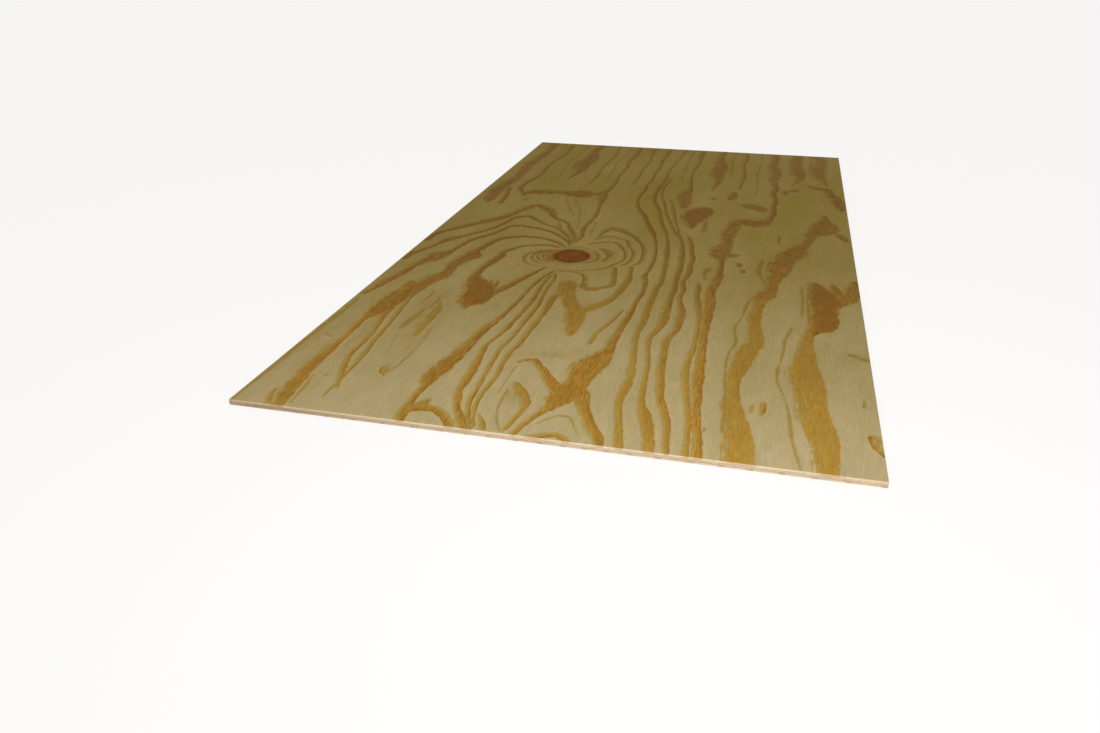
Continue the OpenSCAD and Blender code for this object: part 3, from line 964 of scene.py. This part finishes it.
# A wall of four levels between two flat sides.
def makeCore():
    low, high = (np.array(corner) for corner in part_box("core_veneer"))
    size = (high - low) / mm
    lineX = np.linspace(0, size[0], coreVeneer["columns"])
    lineY = np.linspace(0, size[1], coreVeneer["rows"])
    wall = [(0, high[2] + (low[2] - high[2]) * share) for share in coreVeneer["levelDepths"]]
    piece = veneerMesh("coreVeneer", lineX, lineY, None, wall, coreVeneer, True, {})
    fit(piece, "core_veneer", coreMaterial(coreVeneer))


# Back veneer: a plainer face with a few small tight knots
backVeneer = {
    "columns": 250,
    "rows": 170,
    "ringGap": 52.0,  # mean distance between bands, mm
    "ringHalf": 5.0,
    "leastSteep": 0.004,  # keeps bands from spreading over flat tops
    "waver": [(0.8, 240, 1100, 31), (0.12, 60, 240, 32)],  # height, scale across and along, seed
    "hills": [(300, 620, 90, 330, 2.6), (870, 1560, 120, 420, 3.0), (620, 2110, 70, 220, 1.8),
              (1050, 420, 80, 260, 1.6)],
    "knots": [(300, 640, 13, 17), (868, 1590, 17, 22), (622, 2120, 9, 12)],
    "arris": 0.6,
    "seed": 47,
    "wander": 0.08,
    "tears": 520,
    "tearWidth": (1.5, 8.0),
    "tearDepth": 0.55,
    "levels": (1.0, 1.0, 0.8, 0.4, 0.7),
    "nearStain": [(0, 0.5), (120, 0.45), (250, 0.3), (450, 0.12), (700, 0.03), (1219, 0.0)],
    "early": paint(188, 166, 124),
    "earlyGrey": paint(184, 168, 134),
    "earlyPale": paint(198, 176, 136),
    # painted shade: a little darker and yellower at the far end
    "paintedFarShade": (0.92, 0.90, 0.84, 1.0),
    "faint": paint(164, 134, 80),
    "fringe": paint(170, 142, 84),
    "lateLight": paint(172, 138, 78),
    "late": paint(150, 108, 50),
    "lateOlive": paint(158, 124, 64),
    "lateOrange": paint(168, 120, 60),
    "lateRed": paint(146, 98, 52),
    "lateRim": paint(118, 78, 36),
    "knot": paint(112, 66, 38),
    "knotRim": paint(68, 42, 24),
    "sideGrain": paint(214, 188, 148),
    "endGrain": paint(234, 212, 182),
    "edgeLine": paint(196, 164, 128),
    "edgeStain": paint(118, 88, 60),
    "edgePit": paint(166, 110, 70),
    "glue": (coreBottom, paint(126, 90, 60)),
    "roughness": 0.72,
    "sheen": 0.04,
    "bump": 0.5,
    "bumpHeight": 0.00008,
}


# Figure of the back: bands are the level lines of a slope across the sheet with a few hills on it.
def makeBack():
    low, high = (np.array(corner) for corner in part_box("back_veneer"))
    size = (high - low) / mm
    arris = backVeneer["arris"]
    lineX = np.linspace(arris, size[0] - arris, backVeneer["columns"])
    lineY = np.linspace(arris, size[1] - arris, backVeneer["rows"])
    x, y = np.meshgrid(lineX, lineY)
    rise = x / backVeneer["ringGap"]
    for tall, scaleX, scaleY, seed in backVeneer["waver"]:
        rise += tall * softNoise(x, y, scaleX, scaleY, seed)
    rise += bellField(x, y, backVeneer["hills"])
    steepY, steepX = np.gradient(rise, lineY, lineX)
    offset = (rise % 1.0 - 0.5) / np.maximum(np.hypot(steepX, steepY), backVeneer["leastSteep"])
    depth = np.clip(backVeneer["ringHalf"] - np.abs(offset), -30, 30)
    blank = np.zeros_like(x)
    figure = {
        "depth": depth,
        "slope": np.clip(np.gradient(depth, lineY, axis=0), -1, 1),
        "offset": offset,
        "broad": blank + backVeneer["ringHalf"],
        "hue": blank,
        "tint": blank,
        "faintDepth": blank - 30,
        "faintOffset": blank,
        "knotDepth": knotField(x, y, backVeneer["knots"]),
    }
    wall = easedWall(arris, low[2], high[2])
    piece = veneerMesh("backVeneer", lineX, lineY, blank + low[2], wall, backVeneer, False, figure)
    fit(piece, "back_veneer", pineMaterial("backPine", backVeneer))


makeFace()
makeCore()
makeBack()

# Floor, light and camera
stageLook = {
    "floorSize": 80.0,
    "floorGap": 0.0002,  # keeps the floor just below the sheet
    "floorColour": paint(255, 255, 254),
    "floorRoughness": 0.9,
    "floorGlow": 0.78,  # share of the floor's white that isn't shaded, on rays that show the backdrop
    "worldColour": (1.0, 0.95, 0.86, 1.0),
    "worldStrength": 0.6,
    "keyPlace": (0.42, -1.85, 1.3),
    "keyAim": (0.3, -0.7, 0.0),
    "keySize": 1.2,
    "keyPower": 11.0,
}


# 1 on rays that show the backdrop itself: straight to the camera, in a reflection or through glass.
def shownRays():
    path = put("LightPath")
    seen = larger(wire(path, "Is Camera Ray"), wire(path, "Is Glossy Ray"))
    return larger(seen, wire(path, "Is Transmission Ray"))


# One large square, plain white for the most part on rays that show it and shaded on the others.
def makeFloor():
    half = 0.5 * stageLook["floorSize"]
    corners = [(-half, -half, 0), (half, -half, 0), (half, half, 0), (-half, half, 0)]
    mesh = bpy.data.meshes.new("floor")
    mesh.from_pydata(corners, [], [(0, 1, 2, 3)])
    floor = bpy.data.objects.new("floor", mesh)
    floor.location.z = sheetLow[2] - stageLook["floorGap"]
    bpy.context.scene.collection.objects.link(floor)
    material, shader = newMaterial("paleFloor")
    shader.inputs["Base Color"].default_value = stageLook["floorColour"]
    shader.inputs["Roughness"].default_value = stageLook["floorRoughness"]
    white = put("Emission", {"Color": stageLook["floorColour"], "Strength": 1.0})
    share = stageLook["floorGlow"] * shownRays()
    mixed = put("MixShader", {0: share, 1: wire(shader), 2: wire(white)})
    plug(material.node_tree.nodes["Material Output"].inputs["Surface"], wire(mixed))
    mesh.materials.append(material)


# Turns an object so that its -Z axis points from one place at another.
def aim(thing, place, target):
    way = np.array(target) - np.array(place)
    thing.location = place
    thing.rotation_euler = (math.atan2(math.hypot(way[0], way[1]), -way[2]), 0, math.atan2(-way[0], way[1]))


# A soft world and one soft lamp. The backdrop shows the floor's tone far from the lamp: the share that glows
# is plain, and the rest is lit by the world alone.
def makeLight():
    world = bpy.data.worlds.new("studio")
    world.use_nodes = True
    bench["tree"] = world.node_tree
    back = world.node_tree.nodes["Background"]
    back.inputs["Color"].default_value = stageLook["worldColour"]
    back.inputs["Strength"].default_value = stageLook["worldStrength"]
    glow = stageLook["floorGlow"]
    lit = [(1 - glow) * stageLook["worldStrength"] * part for part in stageLook["worldColour"][:3]]
    far = [(glow + part) * base for part, base in zip(lit, stageLook["floorColour"])]
    white = put("Background", {"Color": (*far, 1.0), "Strength": 1.0})
    mixed = put("MixShader", {0: shownRays(), 1: wire(back), 2: wire(white)})
    plug(world.node_tree.nodes["World Output"].inputs["Surface"], wire(mixed))
    bpy.context.scene.world = world
    lamp = bpy.data.lights.new("softKey", "AREA")
    lamp.shape = "DISK"
    lamp.size = stageLook["keySize"]
    lamp.energy = stageLook["keyPower"]
    key = bpy.data.objects.new("softKey", lamp)
    aim(key, stageLook["keyPlace"], stageLook["keyAim"])
    key.visible_camera = False
    bpy.context.scene.collection.objects.link(key)


view = {
    "place": (0.3755, -2.591, 0.835),
    "turn": 14.02,  # degrees to the left of straight along the sheet
    "tilt": 25.62,  # degrees below level
    "focal": 912.9,  # in pixels of a frame this wide
    "frameWidth": 1100,
    "sensorWidth": 36.0,
}


# The focal length in pixels of the frame becomes one in millimetres of the sensor.
def makeCamera():
    lens = bpy.data.cameras.new("view")
    lens.sensor_fit = "HORIZONTAL"
    lens.sensor_width = view["sensorWidth"]
    lens.lens = view["sensorWidth"] * view["focal"] / view["frameWidth"]
    camera = bpy.data.objects.new("view", lens)
    camera.location = view["place"]
    camera.rotation_euler = (math.radians(90 - view["tilt"]), 0, math.radians(view["turn"]))
    bpy.context.scene.collection.objects.link(camera)
    bpy.context.scene.camera = camera


makeFloor()
makeLight()
makeCamera()
bpy.context.scene.view_settings.view_transform = "Standard"
print("floor, light and camera made")
